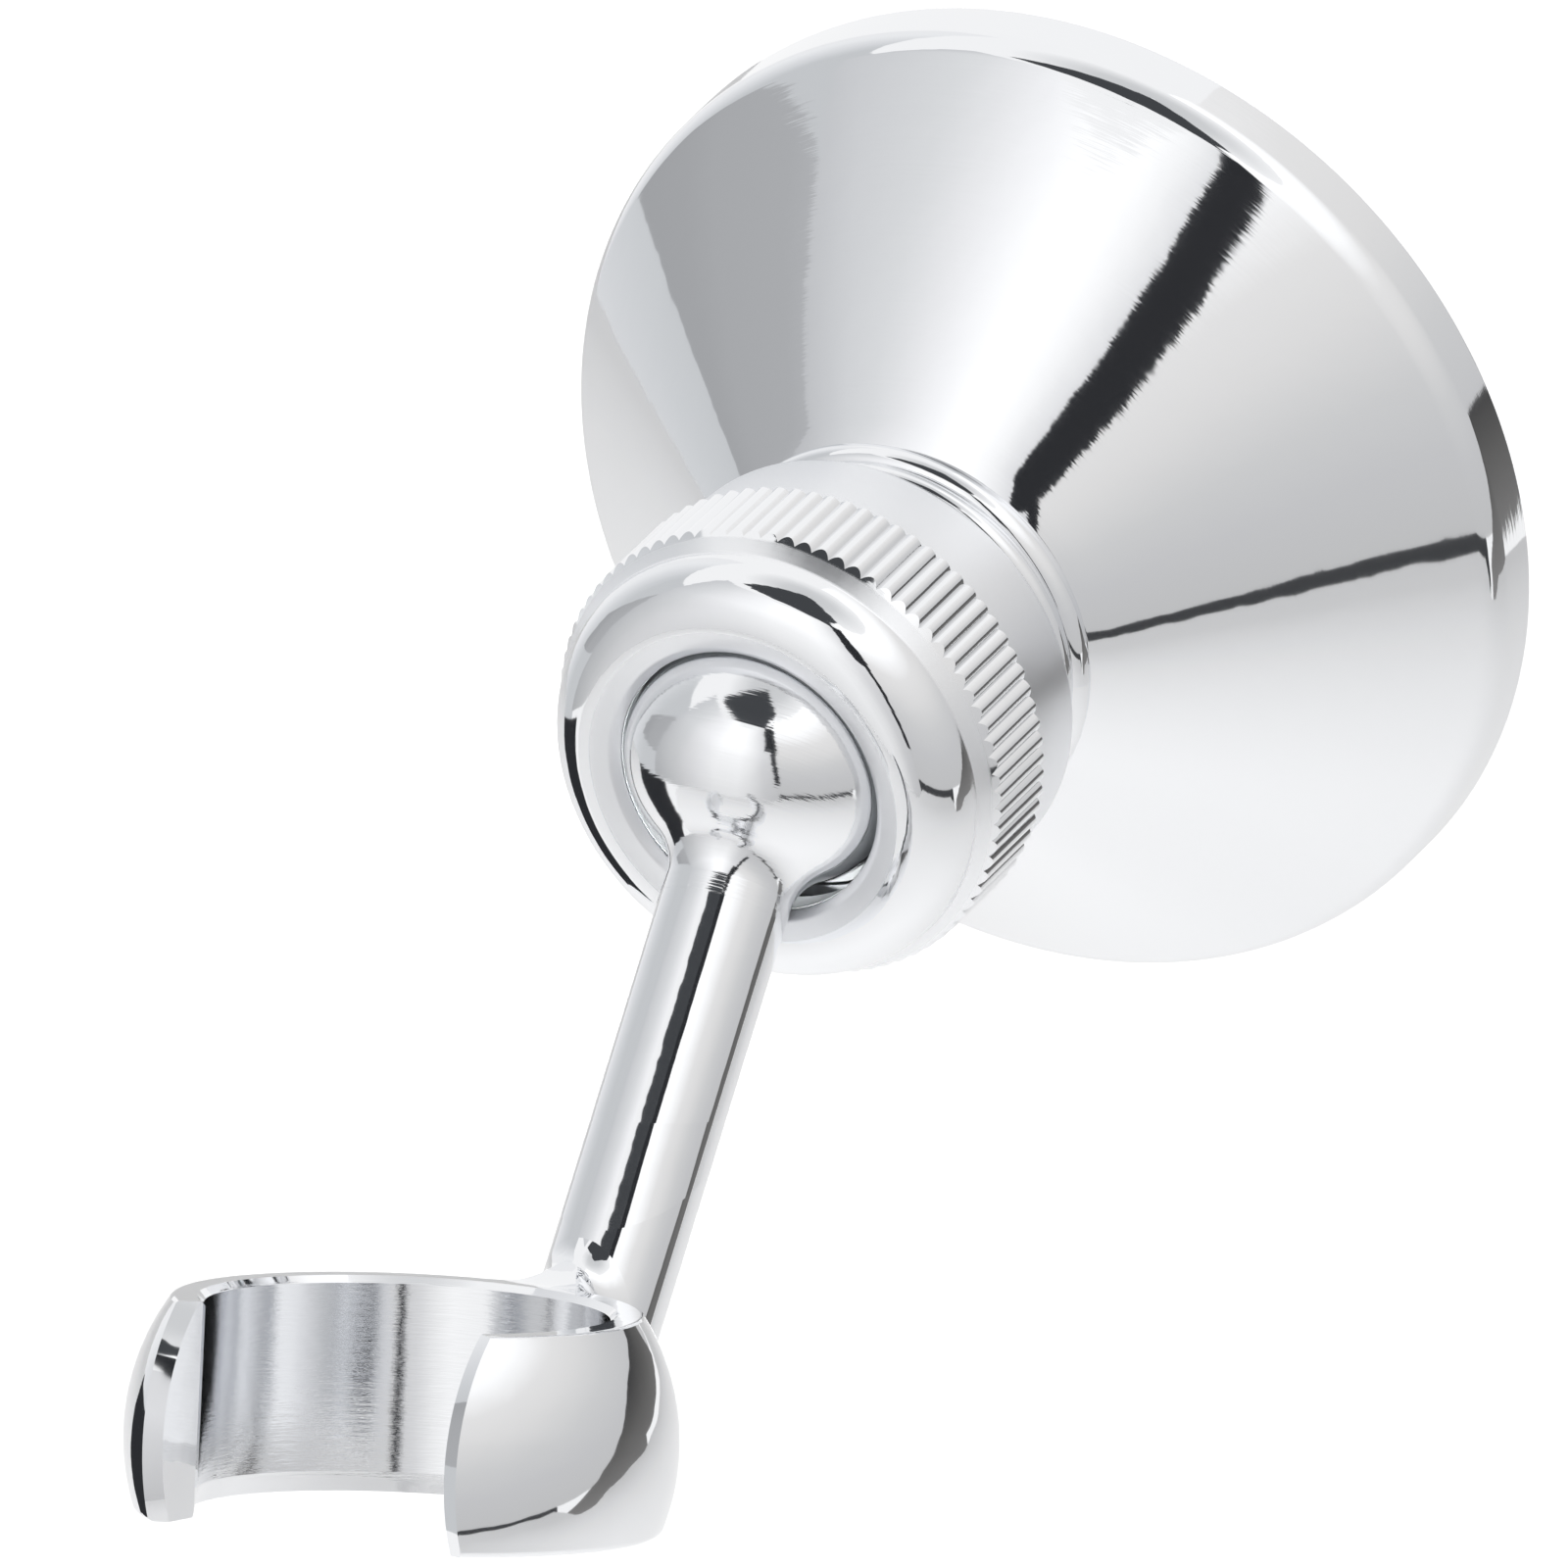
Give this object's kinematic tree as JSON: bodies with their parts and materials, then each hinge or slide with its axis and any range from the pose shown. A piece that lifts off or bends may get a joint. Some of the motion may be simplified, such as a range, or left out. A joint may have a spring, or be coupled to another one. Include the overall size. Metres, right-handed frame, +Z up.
{
  "type": "hand shower holder",
  "caption": "Wall-mounted hand shower holder: a conical flange, a ball joint clamped by a knurled nut, and a cast arm ending in an open C-shaped clip for the handle.",
  "frame": {"origin": "centre of the wall face, where the flange and the plate meet the wall", "axes": "+Z up, +Y into the wall along the flange's axis, the holder stands out along -Y"},
  "size_m": [0.06, 0.0944, 0.0625],
  "materials": {
    "chrome": "polished chrome plate on brass",
    "steel": "zinc plated",
    "rubber": "matt black",
    "nylon": "natural nylon"
  },
  "bodies": {
    "wall_base": {"wall_flange": "chrome", "wall_plate": "steel", "mounting_stud": "steel", "socket_body": "chrome", "pressure_washer": "rubber"},
    "clamp_ring": {"friction_ring": "nylon"},
    "nut": {"clamp_nut": "chrome"},
    "seat": {"ball_seat": "nylon"},
    "ball": {"pivot_ball": "chrome"},
    "holder": {"holder_arm": "chrome"}
  },
  "joints": [
    {"name": "nut_advance", "type": "slide", "parent": "wall_base", "child": "clamp_ring", "axis": [0, -1, 0], "range_m": [0, 0.0005]},
    {"name": "nut_turn", "type": "hinge", "parent": "clamp_ring", "child": "nut", "pos_m": [0, -0.033, 0], "axis": [0, -1, 0], "range_deg": [0, 180]},
    {"name": "seat_swivel", "type": "hinge", "parent": "wall_base", "child": "seat", "pos_m": [0, -0.0381, 0], "axis": [0, -1, 0], "continuous": true},
    {"name": "ball_tilt", "type": "hinge", "parent": "seat", "child": "ball", "pos_m": [0, -0.0381, 0], "axis": [-0.9978, 0, -0.0663], "range_deg": [0, 87.9]},
    {"name": "arm_spin", "type": "hinge", "parent": "ball", "child": "holder", "pos_m": [0, -0.0381, 0], "axis": [0.046, -0.7197, -0.6927], "continuous": true}
  ],
  "couplings": [
    {"joint": "nut_advance", "follows": "nut_turn", "m_per_rad": 0.00015915}
  ]
}
